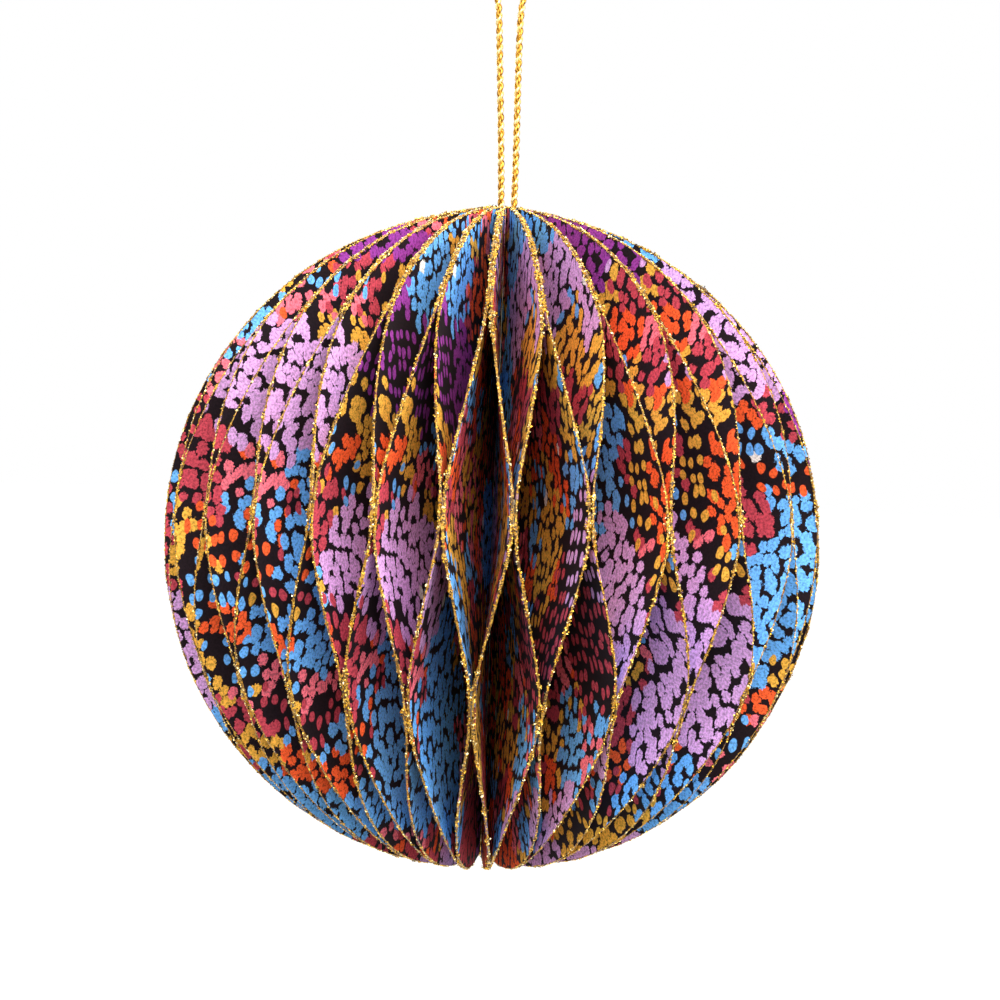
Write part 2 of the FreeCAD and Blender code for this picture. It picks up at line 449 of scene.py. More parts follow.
# Calm fields take their ink from here up in the list below, and busy ones up to here.
CALM_FROM, BUSY_TO = 0.45, 0.72
GROUND, BARE_PAPER = "#1A0F14", "#FBF6EC"
INKS = [
    (0.00, "#F2B445"),
    (0.22, "#FF6330"),
    (0.37, "#FA7887"),
    (0.45, "#70BAFF"),
    (0.58, "#C64856"),
    (0.74, "#C266BE"),
    (0.77, "#963C98"),
    (0.82, "#DDA8E0"),
]

paper, tree = new_material("printed_uncoated_art_paper")
sheet = add(tree, "UVMap", {"uv_map": "sheet"})
drift = add(
    tree,
    "TexNoise",
    {"noise_dimensions": "2D", "Scale": 1 / DRIFT_EVERY_MM, "Detail": 4.0, "Roughness": 0.52},
    {"Vector": sheet.outputs[0]},
)
bent = add(
    tree,
    "VectorMath",
    {"operation": "MULTIPLY_ADD", 1: (DRIFT_MM, DRIFT_MM, 0)},
    {0: drift.outputs["Color"], 2: sheet.outputs[0]},
)
print(f"{paper.name}: dabs {DAB_MM} mm, fields {BROAD_MM} and {FINE_MM} mm")

# %% The nearest dab, the second nearest and the nearest dot
layers = []
for feature, size, scatter, chosen in (
    ("F1", DAB_MM, DAB_SCATTER, "LESS_THAN"),
    ("F2", DAB_MM, DAB_SCATTER, "LESS_THAN"),
    ("F1", DOT_MM, DOT_SCATTER, "GREATER_THAN"),
):
    squeezed = add(
        tree, "VectorMath", {"operation": "DIVIDE", 1: (*size, 1)}, {0: bent.outputs[0]}
    )
    cells = add(
        tree,
        "TexVoronoi",
        {"voronoi_dimensions": "2D", "feature": feature, "Scale": 1.0, "Randomness": scatter},
        {"Vector": squeezed.outputs[0]},
    )
    point = add(
        tree,
        "VectorMath",
        {"operation": "MULTIPLY", 1: (*size, 1)},
        {0: cells.outputs["Position"]},
    )
    snapped = add(
        tree,
        "VectorMath",
        {"operation": "SNAP", 1: (SNAP_MM, SNAP_MM, 1)},
        {0: point.outputs[0]},
    )
    chance = add(
        tree, "TexWhiteNoise", {"noise_dimensions": "2D"}, {"Vector": snapped.outputs[0]}
    )
    strayed = add(
        tree,
        "VectorMath",
        {"operation": "MULTIPLY_ADD", 1: (STRAY_MM, STRAY_MM, 0)},
        {0: chance.outputs["Color"], 2: snapped.outputs[0]},
    )
    broad, fine = (
        add(
            tree,
            "TexVoronoi",
            {"voronoi_dimensions": "2D", "Scale": 1 / field, "Randomness": 1.0},
            {"Vector": strayed.outputs[0]},
        )
        for field in (BROAD_MM, FINE_MM)
    )
    broad_traits = add(tree, "SeparateColor", links={0: broad.outputs["Color"]})
    busy = add(
        tree,
        "Math",
        {"operation": "GREATER_THAN", 1: BUSY_FROM},
        {0: broad_traits.outputs["Green"]},
    )
    calm_inks = add(
        tree,
        "VectorMath",
        {"operation": "MULTIPLY_ADD", 1: (1 - CALM_FROM, 1, 1), 2: (CALM_FROM, 0, 0)},
        {0: broad.outputs["Color"]},
    )
    busy_inks = add(
        tree,
        "VectorMath",
        {"operation": "MULTIPLY", 1: (BUSY_TO, 1, 1)},
        {0: fine.outputs["Color"]},
    )
    field = add(
        tree,
        "Mix",
        {"data_type": "RGBA"},
        {"Factor": busy.outputs[0], 6: calm_inks.outputs[0], 7: busy_inks.outputs[0]},
    )
    traits = add(tree, "SeparateColor", links={0: field.outputs[2]})
    wanted = add(tree, "Math", {"operation": chosen, 1: DOTTED_FROM}, {0: traits.outputs["Blue"]})
    ink = add(
        tree, "ValToRGB", {"steps": "CONSTANT", "stops": INKS}, {0: traits.outputs["Red"]}
    )
    bare = add(
        tree,
        "Math",
        {"operation": "GREATER_THAN", 1: BARE_FROM},
        {0: chance.outputs["Value"]},
    )
    printed = add(
        tree,
        "Mix",
        {"data_type": "RGBA", 7: linear(BARE_PAPER)},
        {"Factor": bare.outputs[0], 6: ink.outputs[0]},
    )
    layers.append(
        {
            "distance": cells.outputs["Distance"],
            "squeezed": squeezed.outputs[0],
            "wanted": wanted.outputs[0],
            "colour": printed.outputs[2],
            "rank": traits.outputs["Red"],
            "busy": busy.outputs[0],
        }
    )
nearest, second, dot = layers
print(f"{len(layers)} layers of ink, {len(tree.nodes)} nodes so far")

# %% [markdown]
# A dab ends where the distance to its point is more than its reach. A smoothed distance rounds
# the notches between dabs that run together. What the smoothing takes off the nearest distance
# comes off the second one too, so that an overlap has no step where the two swap places. The
# paper's tooth moves the reach a little in and out, which leaves the ink with a ragged edge.

# %% How far the ink of a dab reaches
# These are shares of a cell. A dab's own reach is the least one, and what swell and tooth add.
LEAST_REACH, SWELL_REACH, TOOTH_REACH = 0.165, 0.28, 0.45
BUSY_REACH, DOT_REACH = -0.04, 0.34
ROUNDING, INK_EDGE = 0.25, 0.04

rounded = add(
    tree,
    "TexVoronoi",
    {
        "voronoi_dimensions": "2D",
        "feature": "SMOOTH_F1",
        "Scale": 1.0,
        "Randomness": DAB_SCATTER,
        "Smoothness": ROUNDING,
    },
    {"Vector": nearest["squeezed"]},
)
taken_off = add(
    tree,
    "Math",
    {"operation": "SUBTRACT"},
    {0: nearest["distance"], 1: rounded.outputs["Distance"]},
)
swell = add(
    tree,
    "TexNoise",
    {"noise_dimensions": "2D", "Scale": 1 / SWELL_MM, "Detail": 1.0},
    {"Vector": sheet.outputs[0]},
)
tooth = add(
    tree,
    "TexNoise",
    {"noise_dimensions": "2D", "Scale": 1 / TOOTH_MM, "Detail": 3.0, "Roughness": 0.7},
    {"Vector": sheet.outputs[0]},
)
even_reach = add(
    tree,
    "Math",
    {"operation": "MULTIPLY_ADD", 1: SWELL_REACH, 2: LEAST_REACH},
    {0: swell.outputs["Fac"]},
)
dab_reach = add(
    tree,
    "Math",
    {"operation": "MULTIPLY_ADD", 1: TOOTH_REACH},
    {0: tooth.outputs["Fac"], 2: even_reach.outputs[0]},
)
for layer in (nearest, second):
    smoothed = add(
        tree, "Math", {"operation": "SUBTRACT"}, {0: layer["distance"], 1: taken_off.outputs[0]}
    )
    reach = add(
        tree,
        "Math",
        {"operation": "MULTIPLY_ADD", 1: BUSY_REACH},
        {0: layer["busy"], 2: dab_reach.outputs[0]},
    )
    layer["margin"] = add(
        tree, "Math", {"operation": "SUBTRACT"}, {0: reach.outputs[0], 1: smoothed.outputs[0]}
    ).outputs[0]
dot["margin"] = add(
    tree, "Math", {"operation": "SUBTRACT", 0: DOT_REACH}, {1: dot["distance"]}
).outputs[0]
for layer in layers:
    edge = add(
        tree,
        "MapRange",
        {"From Min": 0.0, "From Max": INK_EDGE},
        {"Value": layer["margin"]},
    )
    layer["here"] = add(
        tree, "Math", {"operation": "MULTIPLY"}, {0: edge.outputs[0], 1: layer["wanted"]}
    ).outputs[0]
most_reach = LEAST_REACH + SWELL_REACH + TOOTH_REACH
print(f"a dab reaches {LEAST_REACH} to {most_reach:.2f} of a cell, a dot {DOT_REACH}")

# %% Inks on the ground
above = add(
    tree, "Math", {"operation": "GREATER_THAN"}, {0: second["rank"], 1: nearest["rank"]}
)
missing = add(tree, "Math", {"operation": "SUBTRACT", 0: 1.0}, {1: nearest["here"]})
either = add(tree, "Math", {"operation": "MAXIMUM"}, {0: above.outputs[0], 1: missing.outputs[0]})
over = add(tree, "Math", {"operation": "MULTIPLY"}, {0: either.outputs[0], 1: second["here"]})
with_nearest = add(
    tree,
    "Mix",
    {"data_type": "RGBA", 6: linear(GROUND)},
    {"Factor": nearest["here"], 7: nearest["colour"]},
)
with_second = add(
    tree,
    "Mix",
    {"data_type": "RGBA"},
    {"Factor": over.outputs[0], 6: with_nearest.outputs[2], 7: second["colour"]},
)
with_dots = add(
    tree,
    "Mix",
    {"data_type": "RGBA"},
    {"Factor": dot["here"], 6: with_second.outputs[2], 7: dot["colour"]},
)
# The tooth's noise seldom leaves 0.34 to 0.62, so that range is spread over the mottle's.
mottle = add(
    tree,
    "MapRange",
    {"From Min": 0.34, "From Max": 0.62, "To Min": 0.55, "To Max": 1.24},
    {"Value": tooth.outputs["Fac"]},
)
inked = add(
    tree,
    "VectorMath",
    {"operation": "SCALE"},
    {0: with_dots.outputs[2], "Scale": mottle.outputs[0]},
)
paper_relief = add(
    tree, "Bump", {"Strength": 0.35, "Distance": 0.03 * MM}, {"Height": tooth.outputs["Fac"]}
)
paper_roughness = add(
    tree,
    "MapRange",
    {"To Min": 0.78, "To Max": 0.92},
    {"Value": tooth.outputs["Fac"]},
)
shader = add(
    tree,
    "BsdfPrincipled",
    {"IOR": 1.45, "Specular IOR Level": 0.2},
    {
        "Base Color": inked.outputs[0],
        "Roughness": paper_roughness.outputs[0],
        "Normal": paper_relief.outputs[0],
    },
)
add(tree, "OutputMaterial", links={"Surface": shader.outputs[0]})
print(f"{paper.name}: {len(tree.nodes)} nodes, {len(INKS)} inks")

# %% [markdown]
# ## The leaves
#
# Every leaf is one sheet of paper that waves from the glue on its left to the glue on its right
# and back. Its solid in the frame already has that path, with sharp bends. Real paper bends
# softly, so the path is felt on the solid and smoothed, and a new sheet is built on it.
#
# To feel a face, two rays are sent at it at each height, one near the spine and one near the
# rim. The two hits give the straight line that the sheet makes there in plan: a direction, and
# how far it passes from the spine's axis.

# %% Feel the faces of a leaf
LEVEL_STEP, LEVELS_TO = 0.5 * MM, 37.5 * MM
BEND_MM, BEND_LEVELS = 1.3, 8
SPINE_CLEAR, NOTCH_CLEAR, NOTCH_HEADROOM = 0.03 * MM, 0.25 * MM, 0.6 * MM
RAY_SHARES, RAY_START_MM = (0.3, 0.8), 8

binding_low, binding_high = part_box("spine_binding")
spine_radius = (binding_high.x - binding_low.x) / 2 + SPINE_CLEAR
notch_radius = knot_radius + NOTCH_CLEAR
notch_top = knot_high.z + NOTCH_HEADROOM
levels = np.arange(-LEVELS_TO, LEVELS_TO, LEVEL_STEP)
spread = np.arange(-BEND_LEVELS, BEND_LEVELS + 1) * LEVEL_STEP / MM / BEND_MM
softness = np.exp(-(spread**2) / 2)
softness /= softness.sum()


def feel_leaf(name):
    """For both faces, at every level, the direction of the sheet in plan and how far its line
    passes from the axis, smoothed as paper bends."""
    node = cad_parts[name]
    points = np.array([v.co for v in node.data.vertices])
    solid = BVHTree.FromPolygons(points.tolist(), [list(p.vertices) for p in node.data.polygons])
    outer = points[np.linalg.norm(points, axis=1) > 0.99 * ball_radius]
    turn = math.atan2(outer[:, 1].sum(), outer[:, 0].sum())
    along = Vector((math.cos(turn), math.sin(turn), 0))
    across = Vector((-math.sin(turn), math.cos(turn), 0))
    found = np.zeros((2, 2, len(levels)))
    for i, level in enumerate(levels):
        rim = math.sqrt(ball_radius**2 - level**2)
        nearby, away = (notch_radius + share * (rim - notch_radius) for share in RAY_SHARES)
        for face, sense in enumerate((1, -1)):
            offsets = []
            for reach in (nearby, away):
                beside = across * sense * RAY_START_MM * MM
                start = along * reach - beside + Vector((0, 0, level))
                hit = solid.ray_cast(start, across * sense)[0]
                offsets.append(hit.dot(across))
            angle = math.atan2(offsets[1] - offsets[0], away - nearby)
            found[face, 0, i] = turn + angle
            found[face, 1, i] = offsets[0] * math.cos(angle) - nearby * math.sin(angle)
    padded = np.pad(found, ((0, 0), (0, 0), (BEND_LEVELS, BEND_LEVELS)), mode="edge")
    return np.apply_along_axis(lambda row: np.convolve(row, softness, "valid"), 2, padded)


leaf_faces = [feel_leaf(name) for name in leaf_names]
print(f"felt {len(leaf_faces)} leaves at {len(levels)} levels")


# %% [markdown]
# A leaf is laid out as rows and columns: rows climb the rim in equal steps, and columns run from
# the spine to the rim. The same grid is drawn for both faces, a paper's thickness apart, and a
# strip closes the edge between them.
#
# The UV map is the printer's sheet in millimetres. Leaves were cut as stacks from one printed
# sheet, so a run of neighbours shows nearly the same part of the print, and then it changes.

# %% Lay out the rows and columns
ROWS, COLUMNS = 101, 6
GRIT_MM, END_CLEAR = 0.1, 0.06 * MM
CROWN_MM, PEAK_MM, DENT_MM = 0.55, 0.8, 1.0
PEAK_WIDTH, DENT_WIDTH = 0.18, 0.3  # in radians


def rim_place(climb):
    """Distance from the axis and height of the rim, for angles climbed from the equator. A
    hanging ball is not quite round: it stands a little taller in its upper half, has a slight
    peak where the leaves crowd at the cord, and is flatter below."""
    crown = CROWN_MM * np.maximum(np.sin(climb), 0)
    peak = PEAK_MM * np.exp(-(((math.pi / 2 - climb) / PEAK_WIDTH) ** 2))
    dent = DENT_MM * np.exp(-(((math.pi / 2 + climb) / DENT_WIDTH) ** 2))
    reach = ball_radius + (crown + peak - dent - GRIT_MM) * MM
    return reach * np.cos(climb), reach * np.sin(climb)


leaf_rim = ball_radius - GRIT_MM * MM
first_row = -math.acos((notch_radius + END_CLEAR) / leaf_rim)
last_row = math.acos((spine_radius + END_CLEAR) / leaf_rim)
row_rim, row_height = rim_place(np.linspace(first_row, last_row, ROWS))
row_inner = np.where(row_height < notch_top, notch_radius, spine_radius)
share = np.linspace(0, 1, COLUMNS)
cell = np.arange(ROWS * COLUMNS).reshape(ROWS, COLUMNS)
near_quads = np.stack([cell[:-1, :-1], cell[:-1, 1:], cell[1:, 1:], cell[1:, :-1]], -1)
near_quads = near_quads.reshape(-1, 4)
far_quads = near_quads[:, ::-1] + cell.size
edge = np.r_[cell[:, -1], cell[-1, ::-1][1:], cell[::-1, 0][1:], cell[0, 1:]]
edge_next = np.roll(edge, -1)
edge_quads = np.stack([edge, edge + cell.size, edge_next + cell.size, edge_next], -1)[:-1]
leaf_quads = np.vstack([near_quads, far_quads, edge_quads])


def sheet_points(face, radius):
    """Points of a face at each row's height, at the given distances from the axis."""
    angle = np.interp(row_height, levels, face[0])[:, None]
    miss = np.interp(row_height, levels, face[1])[:, None]
    run = np.sqrt(radius**2 - miss**2)
    x = run * np.cos(angle) - miss * np.sin(angle)
    y = run * np.sin(angle) + miss * np.cos(angle)
    return np.stack([x, y, np.broadcast_to(row_height[:, None], x.shape)], -1)


print(f"{len(leaf_quads)} faces a leaf")
print(f"rims from {row_height[0] / MM:.1f} to {row_height[-1] / MM:.1f} mm")

# %% Cut and print the leaves
STACK_LEAVES = (3, 7)  # a stack is 3 to 6 leaves
SHEET_MM = 400
SLIP_MM, SLIP_SPREAD_MM = 0.4, 0.5

rng = np.random.default_rng(8)
radius = row_inner[:, None] + share * (row_rim - row_inner)[:, None]
laid_flat = np.stack([radius, np.broadcast_to(row_height[:, None], radius.shape)], -1)
laid_flat = laid_flat.reshape(-1, 2) / MM
printed_corners = leaf_quads.copy()
printed_corners[len(near_quads) + len(far_quads) :] %= cell.size
left_in_stack = 0
for name, faces in zip(leaf_names, leaf_faces):
    if left_in_stack == 0:
        left_in_stack = int(rng.integers(*STACK_LEAVES))
        places = rng.uniform(0, SHEET_MM, (2, 2))
    left_in_stack -= 1
    places = places + rng.normal(0, SLIP_SPREAD_MM, (2, 2)) + SLIP_MM
    vertices = np.concatenate([sheet_points(face, radius).reshape(-1, 3) for face in faces])
    flat = np.concatenate([laid_flat + places[0], laid_flat * (-1, 1) + places[1]])
    leaf = new_piece(
        "paper_" + name,
        vertices,
        leaf_quads.tolist(),
        [paper],
        "sheet",
        flat[printed_corners.ravel()],
    )
    leaf.data.shade_smooth()
    leaf.data.set_sharp_from_angle(angle=math.radians(45))
    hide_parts(name)
print(f"{len(leaf_names)} leaves, each {len(leaf.data.polygons)} faces")

# %% [markdown]
# ## Glitter rims
#
# Craft glitter is cut polyester film with a vapour of aluminium and a gold lacquer. Every flake
# is a small mirror at its own angle, so a band of it is not one gold but a mix of nearly white,
# gold, amber and brown. Here that mix is painted into the flakes' colour, in patches of about
# 0.3 mm: over the lacquer's gold, the nearly white is painted highlight and the brown is painted
# dark reflection. The flakes are real geometry here, 0.1 to 0.3 mm across, because a bump map
# can't break up the outline of a rim. They sit in a lumpy bead of clear glue, whose amber and
# dark brown colour is painted shade between the flakes.

# %% Gold glitter and its glue
GLINT_PATCH_MM, GRAIN_MM = 0.3, 0.16

glitter, tree = new_material("gold_polyester_glitter")
place = add(tree, "TexCoord")
flake = add(
    tree,
    "TexVoronoi",
    {"Scale": 1 / (GLINT_PATCH_MM * MM), "Randomness": 1.0},
    {"Vector": place.outputs["Object"]},
)
flake_traits = add(tree, "SeparateColor", links={0: flake.outputs["Color"]})
# Patches of painted highlight (nearly white) and painted dark reflection (brown) on the gold.
lacquer_with_painted_light = add(
    tree,
    "ValToRGB",
    {
        "steps": "CONSTANT",
        "stops": [
            (0.0, "#33200A"),
            (0.18, "#A3701A"),
            (0.35, "#DFAC38"),
            (0.62, "#F8D062"),
            (0.84, "#FFF0B6"),
        ],
    },
    {0: flake_traits.outputs["Red"]},
)
flake_roughness = add(
    tree,
    "MapRange",
    {"To Min": 0.2, "To Max": 0.5},
    {"Value": flake_traits.outputs["Green"]},
)
shader = add(
    tree,
    "BsdfPrincipled",
    {"Metallic": 1.0},
    {"Base Color": lacquer_with_painted_light.outputs[0], "Roughness": flake_roughness.outputs[0]},
)
add(tree, "OutputMaterial", links={"Surface": shader.outputs[0]})

rim_glue_painted_shade, tree = new_material("glitter_glue_painted_shade")
place = add(tree, "TexCoord")
grains = add(
    tree,
    "TexVoronoi",
    {"Scale": 1 / (GRAIN_MM * MM), "Randomness": 1.0},
    {"Vector": place.outputs["Object"]},
)
grain_traits = add(tree, "SeparateColor", links={0: grains.outputs["Color"]})
# The clear glue's amber and dark brown is painted shade between the flakes.
resin_painted_shade = add(
    tree,
    "ValToRGB",
    {"stops": [(0.1, "#2C1B06"), (0.5, "#85590F"), (0.9, "#D2A136")]},
    {0: grain_traits.outputs["Red"]},
)
lumps = add(
    tree, "Bump", {"Strength": 0.7, "Distance": 0.05 * MM}, {"Height": grains.outputs["Distance"]}
)
shader = add(
    tree,
    "BsdfPrincipled",
    {"Roughness": 0.35, "IOR": 1.5, "Metallic": 0.25},
    {"Base Color": resin_painted_shade.outputs[0], "Normal": lumps.outputs[0]},
)
add(tree, "OutputMaterial", links={"Surface": shader.outputs[0]})
print(f"{glitter.name}: a tint every {GLINT_PATCH_MM} mm, in {rim_glue_painted_shade.name}")

# %% [markdown]
# Dipping is uneven: some rims catch more than others, each has thin stretches and clumps, the
# glue is thickest round the middle, and the seam where two glued rims touch holds more than a
# rim that stands alone.

# %% How thick the glitter is along each rim
RIM_STEPS, STEPS_PER_KNOT = 400, 3
SINGLE_MM, SEAM_MM, SEAM_APART_MM = 0.125, 0.035, 0.7
CAUGHT, UNEVEN = (0.8, 1.2), (0.6, 1.3)
DRAINED = (0.5, 1.0, 0.8)  # at the foot, round the middle and at the top
CLUMPS_PER_LEAF, CLUMP_SHARE = 30, 0.6
CLUMP_MM, CLUMP_HEIGHT = (0.25, 0.6), (0.2, 1.9)


def rim_frame(faces, climb):
    """Points on a leaf's rim, and there the directions outward and across the paper."""
    out, height = rim_place(climb)
    ends = []
    for face in faces:
        angle = np.interp(height, levels, face[0])
        miss = np.interp(height, levels, face[1])
        angle = angle + np.arcsin(np.clip(miss / out, -1, 1))
        ends.append(np.stack([out * np.cos(angle), out * np.sin(angle), height], 1))
    middle = (ends[0] + ends[1]) / 2
    outward = middle / np.linalg.norm(middle, axis=1)[:, None]
    across = ends[1] - ends[0]
    across /= np.linalg.norm(across, axis=1)[:, None]
    return middle, outward, across


climbed = np.linspace(first_row, last_row, RIM_STEPS)
rim_middles = np.array([rim_frame(faces, climbed)[0] for faces in leaf_faces])
apart = np.linalg.norm(rim_middles - np.roll(rim_middles, 1, axis=0), axis=2)
apart = np.minimum(apart, np.roll(apart, -1, axis=0))
seam = np.exp(-((apart / (SEAM_APART_MM * MM)) ** 2))
thickness = np.empty_like(seam)
for number in range(len(leaf_names)):
    caught = rng.uniform(*CAUGHT)
    knots = caught * rng.uniform(*UNEVEN, RIM_STEPS // STEPS_PER_KNOT)
    uneven = np.interp(climbed, np.linspace(first_row, last_row, len(knots)), knots)
    heap = np.zeros(RIM_STEPS)
    for middle in rng.uniform(first_row, last_row, CLUMPS_PER_LEAF):
        width = rng.uniform(*CLUMP_MM) * MM / leaf_rim
        clump = rng.uniform(*CLUMP_HEIGHT) * np.exp(-(((climbed - middle) / width) ** 2))
        heap = np.maximum(heap, clump)
    drained = np.interp(climbed, (first_row, 0, last_row), DRAINED)
    thickness[number] = (SINGLE_MM + SEAM_MM * seam[number]) * uneven * drained * MM
    thickness[number] *= 1 + heap * CLUMP_SHARE * (1 + seam[number])
print(f"glitter {2 * thickness.min() / MM:.2f} to {2 * thickness.max() / MM:.2f} mm across")

# %% Glue beads and flakes
BEAD_STEPS, BEAD_SIDES = 240, 5
BEAD_FLATNESS, BEAD_GRAIN = 0.55, (0.7, 1.2)
FLAKES_PER_LEAF = 950
FLAKE_REACH_MM, FOOT_SHARE = (0.065, 0.155), 0.75
FLAKE_LAP, FLAKE_STRAY = 0.6, 0.7

flake_corners = np.array(
    [(1, 0, 0), (0, 1, 0), (-1, 0, 0), (0, -1, 0), (0, 0, 0.5), (0, 0, -0.5)], float
)
flake_faces = np.array(
    [(0, 1, 4), (1, 2, 4), (2, 3, 4), (3, 0, 4), (1, 0, 5), (2, 1, 5), (3, 2, 5), (0, 3, 5)]
)


def bead(faces, thick):
    """A lumpy bead of glue round the rim's edge: vertices and quads."""
    steps = np.linspace(first_row, last_row, BEAD_STEPS)
    middle, outward, across = rim_frame(faces, steps)
    wide = np.interp(steps, climbed, thick)[:, None, None]
    ring = ring_offsets(across, BEAD_FLATNESS * outward, BEAD_SIDES)
    grain = rng.uniform(*BEAD_GRAIN, (BEAD_STEPS, BEAD_SIDES, 1))
    vertices = (middle[:, None] + wide * ring * grain).reshape(-1, 3)
    return vertices, tube_quads(BEAD_STEPS, BEAD_SIDES)[0]


def flakes(faces, thick):
    """Flakes stuck on the bead at random angles: vertices and triangles."""
    likely = np.cumsum(thick) / thick.sum()
    spots = np.interp(rng.uniform(likely[0], 1, FLAKES_PER_LEAF), likely, climbed)
    middle, outward, across = rim_frame(faces, spots)
    wide = np.interp(spots, climbed, thick)[:, None]
    way = rng.uniform(-FLAKE_LAP, math.pi + FLAKE_LAP, FLAKES_PER_LEAF)[:, None]
    stray = 1 + FLAKE_STRAY * rng.uniform(0, 1, (FLAKES_PER_LEAF, 1)) ** 4
    middle = middle + stray * wide * (
        across * np.cos(way) + BEAD_FLATNESS * outward * np.sin(way)
    )
    size = rng.uniform(*FLAKE_REACH_MM, FLAKES_PER_LEAF) * MM
    size *= np.interp(spots, (first_row, 0), (FOOT_SHARE, 1))
    # Four random numbers, scaled to length 1, are a turn in any direction: a quaternion.
    q = rng.normal(size=(FLAKES_PER_LEAF, 4))
    q /= np.linalg.norm(q, axis=1)[:, None]
    w, x, y, z = q.T
    spin = np.array(
        [
            [1 - 2 * (y * y + z * z), 2 * (x * y - w * z), 2 * (x * z + w * y)],
            [2 * (x * y + w * z), 1 - 2 * (x * x + z * z), 2 * (y * z - w * x)],
            [2 * (x * z - w * y), 2 * (y * z + w * x), 1 - 2 * (x * x + y * y)],
        ]
    ).transpose(2, 0, 1)
    spun = np.einsum("nij,kj->nki", spin, flake_corners) * size[:, None, None]
    start = (np.arange(FLAKES_PER_LEAF) * len(flake_corners))[:, None, None]
    return (middle[:, None] + spun).reshape(-1, 3), (flake_faces + start).reshape(-1, 3)


smallest, largest = (2 * reach for reach in FLAKE_REACH_MM)
print(f"{FLAKES_PER_LEAF} flakes on each rim, {smallest:.2f} to {largest:.2f} mm")


# %% Dip the rims
LEAVES_PER_BAND = 7

for first_leaf in range(0, len(leaf_names), LEAVES_PER_BAND):
    vertices, faces, owners = [], [], []
    count = 0
    for number in range(first_leaf, first_leaf + LEAVES_PER_BAND):
        # Beads take the glue with its painted shade, and flakes take the glitter with its painted
        # highlights.
        for owner, make in enumerate((bead, flakes)):
            made, joined = make(leaf_faces[number], thickness[number])
            vertices.append(made)
            faces += (joined + count).tolist()
            owners += [owner] * len(joined)
            count += len(made)
    band = new_piece(
        f"glitter_rims_{first_leaf // LEAVES_PER_BAND + 1}",
        np.concatenate(vertices),
        faces,
        [rim_glue_painted_shade, glitter],
        owners=owners,
    )
    band.data.calc_loop_triangles()
    print(f"{band.name}: {len(band.data.loop_triangles)} triangles")

# %% [markdown]
# ## The glue binding
#
# The straight edges of the leaves are held by bookbinder's PVA glue, as on a notepad. Dried PVA
# is a cloudy, faintly yellow rubber. It lets light in and scatters it, and its surface keeps
# shallow brush marks.

# %% Dried glue material
CLOUD_MM = 1.5

glue, tree = new_material("dried_pva_glue")
place = add(tree, "TexCoord")
cloud = add(
    tree,
    "TexNoise",
    {"Scale": 1 / (CLOUD_MM * MM), "Detail": 3.0},
    {"Vector": place.outputs["Object"]},
)
glue_colour = add(
    tree,
    "ValToRGB",
    {"stops": [(0.3, "#CDBE98"), (0.7, "#EFE6CE")]},
    {0: cloud.outputs["Fac"]},
)
brushed = add(
    tree, "Bump", {"Strength": 0.4, "Distance": 0.1 * MM}, {"Height": cloud.outputs["Fac"]}
)
shader = add(
    tree,
    "BsdfPrincipled",
    {
        "Roughness": 0.4,
        "IOR": 1.47,
        "Subsurface Weight": 0.3,
        "Subsurface Radius": (0.5, 0.4, 0.3),
        "Subsurface Scale": 0.5 * MM,
    },
    {"Base Color": glue_colour.outputs[0], "Normal": brushed.outputs[0]},
)
add(tree, "OutputMaterial", links={"Surface": shader.outputs[0]})
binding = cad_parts["spine_binding"]
binding.data.materials.clear()
binding.data.materials.append(glue)
print(f"spine_binding gets {glue.name}")

# %% [markdown]
# ## The glued rows
#
# Where two leaves are glued, a film of the same glue fills the thin gap between them from the
# spine nearly out to the rim, and the outermost rows run on to the poles. The films are found
# where two neighbours come closer than 0.3 mm, and each is a thin closed strip. They are hardly
# seen, but without them light would shine through between the leaves.

# %% Films of glue between the leaves
GLUED_MM, FILM_BACK_MM = 0.3, 0.6

film_reach = np.stack([row_inner, row_rim - FILM_BACK_MM * MM], 1)
roomy = row_rim - row_inner > 2 * FILM_BACK_MM * MM
vertices, faces, count = [], [], 0
for number, sides in enumerate(leaf_faces):
    here = sheet_points(sides[1], film_reach)
    there = sheet_points(leaf_faces[(number + 1) % len(leaf_faces)][0], film_reach)
    glued = roomy & (np.linalg.norm(here[:, 1] - there[:, 1], axis=1) < GLUED_MM * MM)
    turns = np.flatnonzero(np.diff(np.r_[0, glued.astype(int), 0]))
    for start, end in zip(turns[::2], turns[1::2]):
        if end - start < 2:
            continue
        strip = np.concatenate([here[start:end], there[start:end, ::-1]], 1)
        near = count + np.arange(4 * (end - start)).reshape(-1, 4)
        far = np.roll(near, -1, axis=1)
        vertices.append(strip.reshape(-1, 3))
        faces += np.stack([near[:-1], far[:-1], far[1:], near[1:]], -1).reshape(-1, 4).tolist()
        faces += [near[0, ::-1].tolist(), near[-1].tolist()]
        count += near.size
films = new_piece("glue_films", np.concatenate(vertices), faces, [glue])
print(f"{films.name}: {len(vertices)} films, {len(faces)} faces")

# %% [markdown]
# ## The studio
#
# The ball hangs in front of plain white. The world and the floor are white to the camera and in
# reflections, which Light Path tells apart, while the light they give the ball is a soft grey.
# Five large soft lamps light it. Three stand in front and above, the strongest just right of the
# camera, because on a fan of leaves light from the right reaches the leaves on the left. One
# hangs overhead and one stands behind. With little light from below, the ball darkens towards
# its foot and the cells fall off to dark inside. The floor is far below, and it keeps the ball's
# faint shadow.

# %% White world
AIR = 0.52


def seen_white(tree):
    """1 for what the camera sees, also in a reflection or through glass, and 0 for light."""
    rays = add(tree, "LightPath")
    glossy_or_clear = add(
        tree,
        "Math",
        {"operation": "MAXIMUM"},
        {0: rays.outputs["Is Glossy Ray"], 1: rays.outputs["Is Transmission Ray"]},
    )
    shown = add(
        tree,
        "Math",
        {"operation": "MAXIMUM"},
        {0: rays.outputs["Is Camera Ray"], 1: glossy_or_clear.outputs[0]},
    )
    return shown.outputs[0]


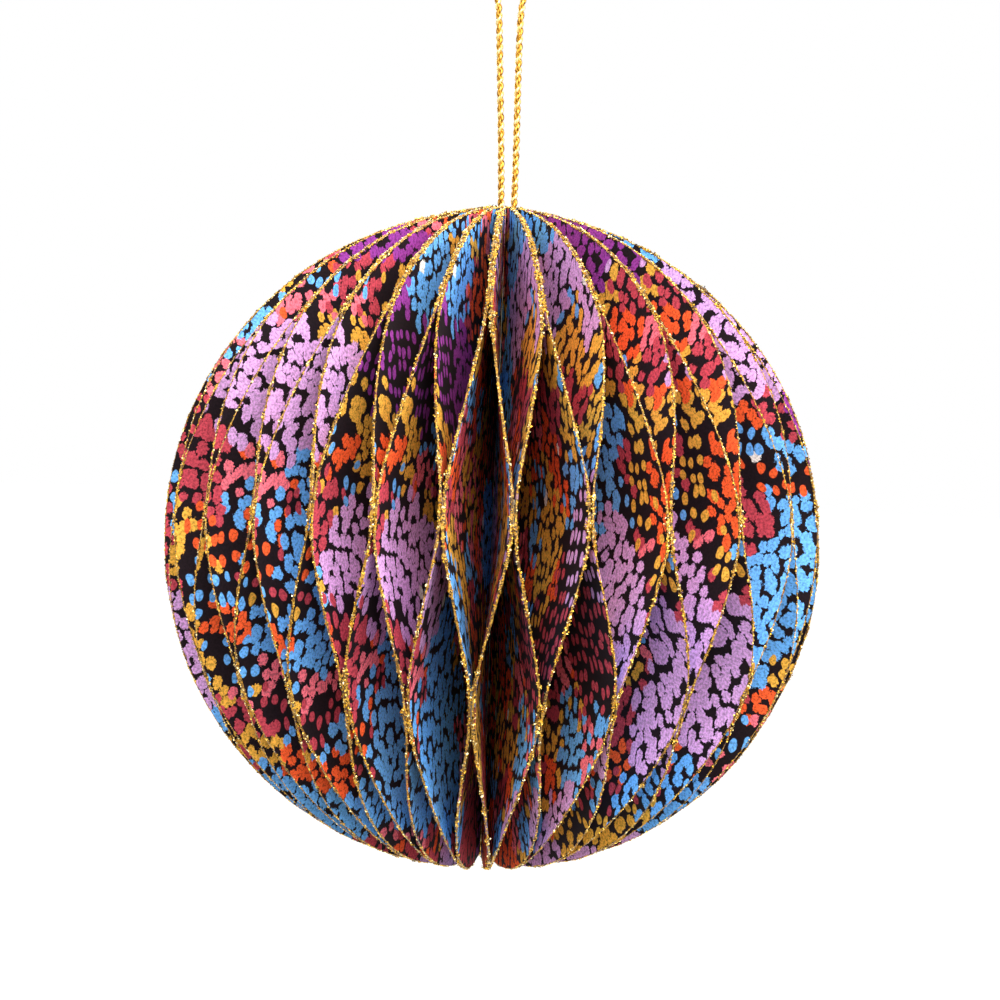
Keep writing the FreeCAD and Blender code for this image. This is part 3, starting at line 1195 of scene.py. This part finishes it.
world = bpy.data.worlds.new("studio_air")
bpy.context.scene.world = world
world.use_nodes = True
tree = world.node_tree
tree.nodes.clear()
air = add(tree, "MapRange", {"To Min": AIR, "To Max": 1.0}, {"Value": seen_white(tree)})
sky = add(tree, "Background", {"Color": (1, 1, 1, 1)}, {"Strength": air.outputs[0]})
add(tree, "OutputWorld", links={"Surface": sky.outputs[0]})
print(f"{world.name} gives {AIR} of white light")

# %% Pale floor
FLOOR_DOWN, FLOOR_RADIUS = 0.4, 8
FLOOR_GLOW = 0.85

floor_paper, tree = new_material("white_studio_paper")
grain = add(tree, "TexNoise", {"Scale": 40.0, "Detail": 2.0})
floor_colour = add(
    tree,
    "ValToRGB",
    {"stops": [(0.3, "#8E8E8C"), (0.7, "#989896")]},
    {0: grain.outputs["Fac"]},
)
white = add(tree, "Math", {"operation": "MULTIPLY", 1: FLOOR_GLOW}, {0: seen_white(tree)})
matte = add(
    tree,
    "BsdfPrincipled",
    {"Roughness": 0.9, "Emission Color": (1, 1, 1, 1)},
    {"Base Color": floor_colour.outputs[0], "Emission Strength": white.outputs[0]},
)
add(tree, "OutputMaterial", links={"Surface": matte.outputs[0]})
bpy.ops.mesh.primitive_circle_add(
    vertices=96, radius=FLOOR_RADIUS, fill_type="NGON", location=(0, 0, -FLOOR_DOWN)
)
floor = bpy.context.object
floor.name = "studio_floor"
floor.data.materials.append(floor_paper)
print(f"floor {FLOOR_DOWN / MM:.0f} mm below the ball's middle")


# %% Soft lamps
def soft_lamp(name, place, size, power):
    """A square area lamp that faces the ball."""
    lamp = bpy.data.lights.new(name, "AREA")
    lamp.shape, lamp.size, lamp.energy = "SQUARE", size, power
    stand = bpy.data.objects.new(name, lamp)
    stand.location = place
    stand.rotation_euler = (ball_middle - Vector(place)).to_track_quat("-Z", "Y").to_euler()
    bpy.context.scene.collection.objects.link(stand)
    return stand


lamps = [
    soft_lamp("key_lamp", (0.12, -0.6, 0.4), 0.5, 6.2),
    soft_lamp("left_fill", (-0.36, -0.55, 0.22), 0.45, 1.9),
    soft_lamp("right_fill", (0.52, -0.35, 0.28), 0.45, 4.2),
    soft_lamp("top_lamp", (0.05, 0.1, 0.6), 0.4, 2.0),
    soft_lamp("back_lamp", (-0.2, 0.6, 0.25), 0.5, 3.6),
]
print(f"{len(lamps)} lamps, {sum(stand.data.energy for stand in lamps):.1f} W in all")

# %% Finish
bpy.context.scene.view_settings.view_transform = "Standard"
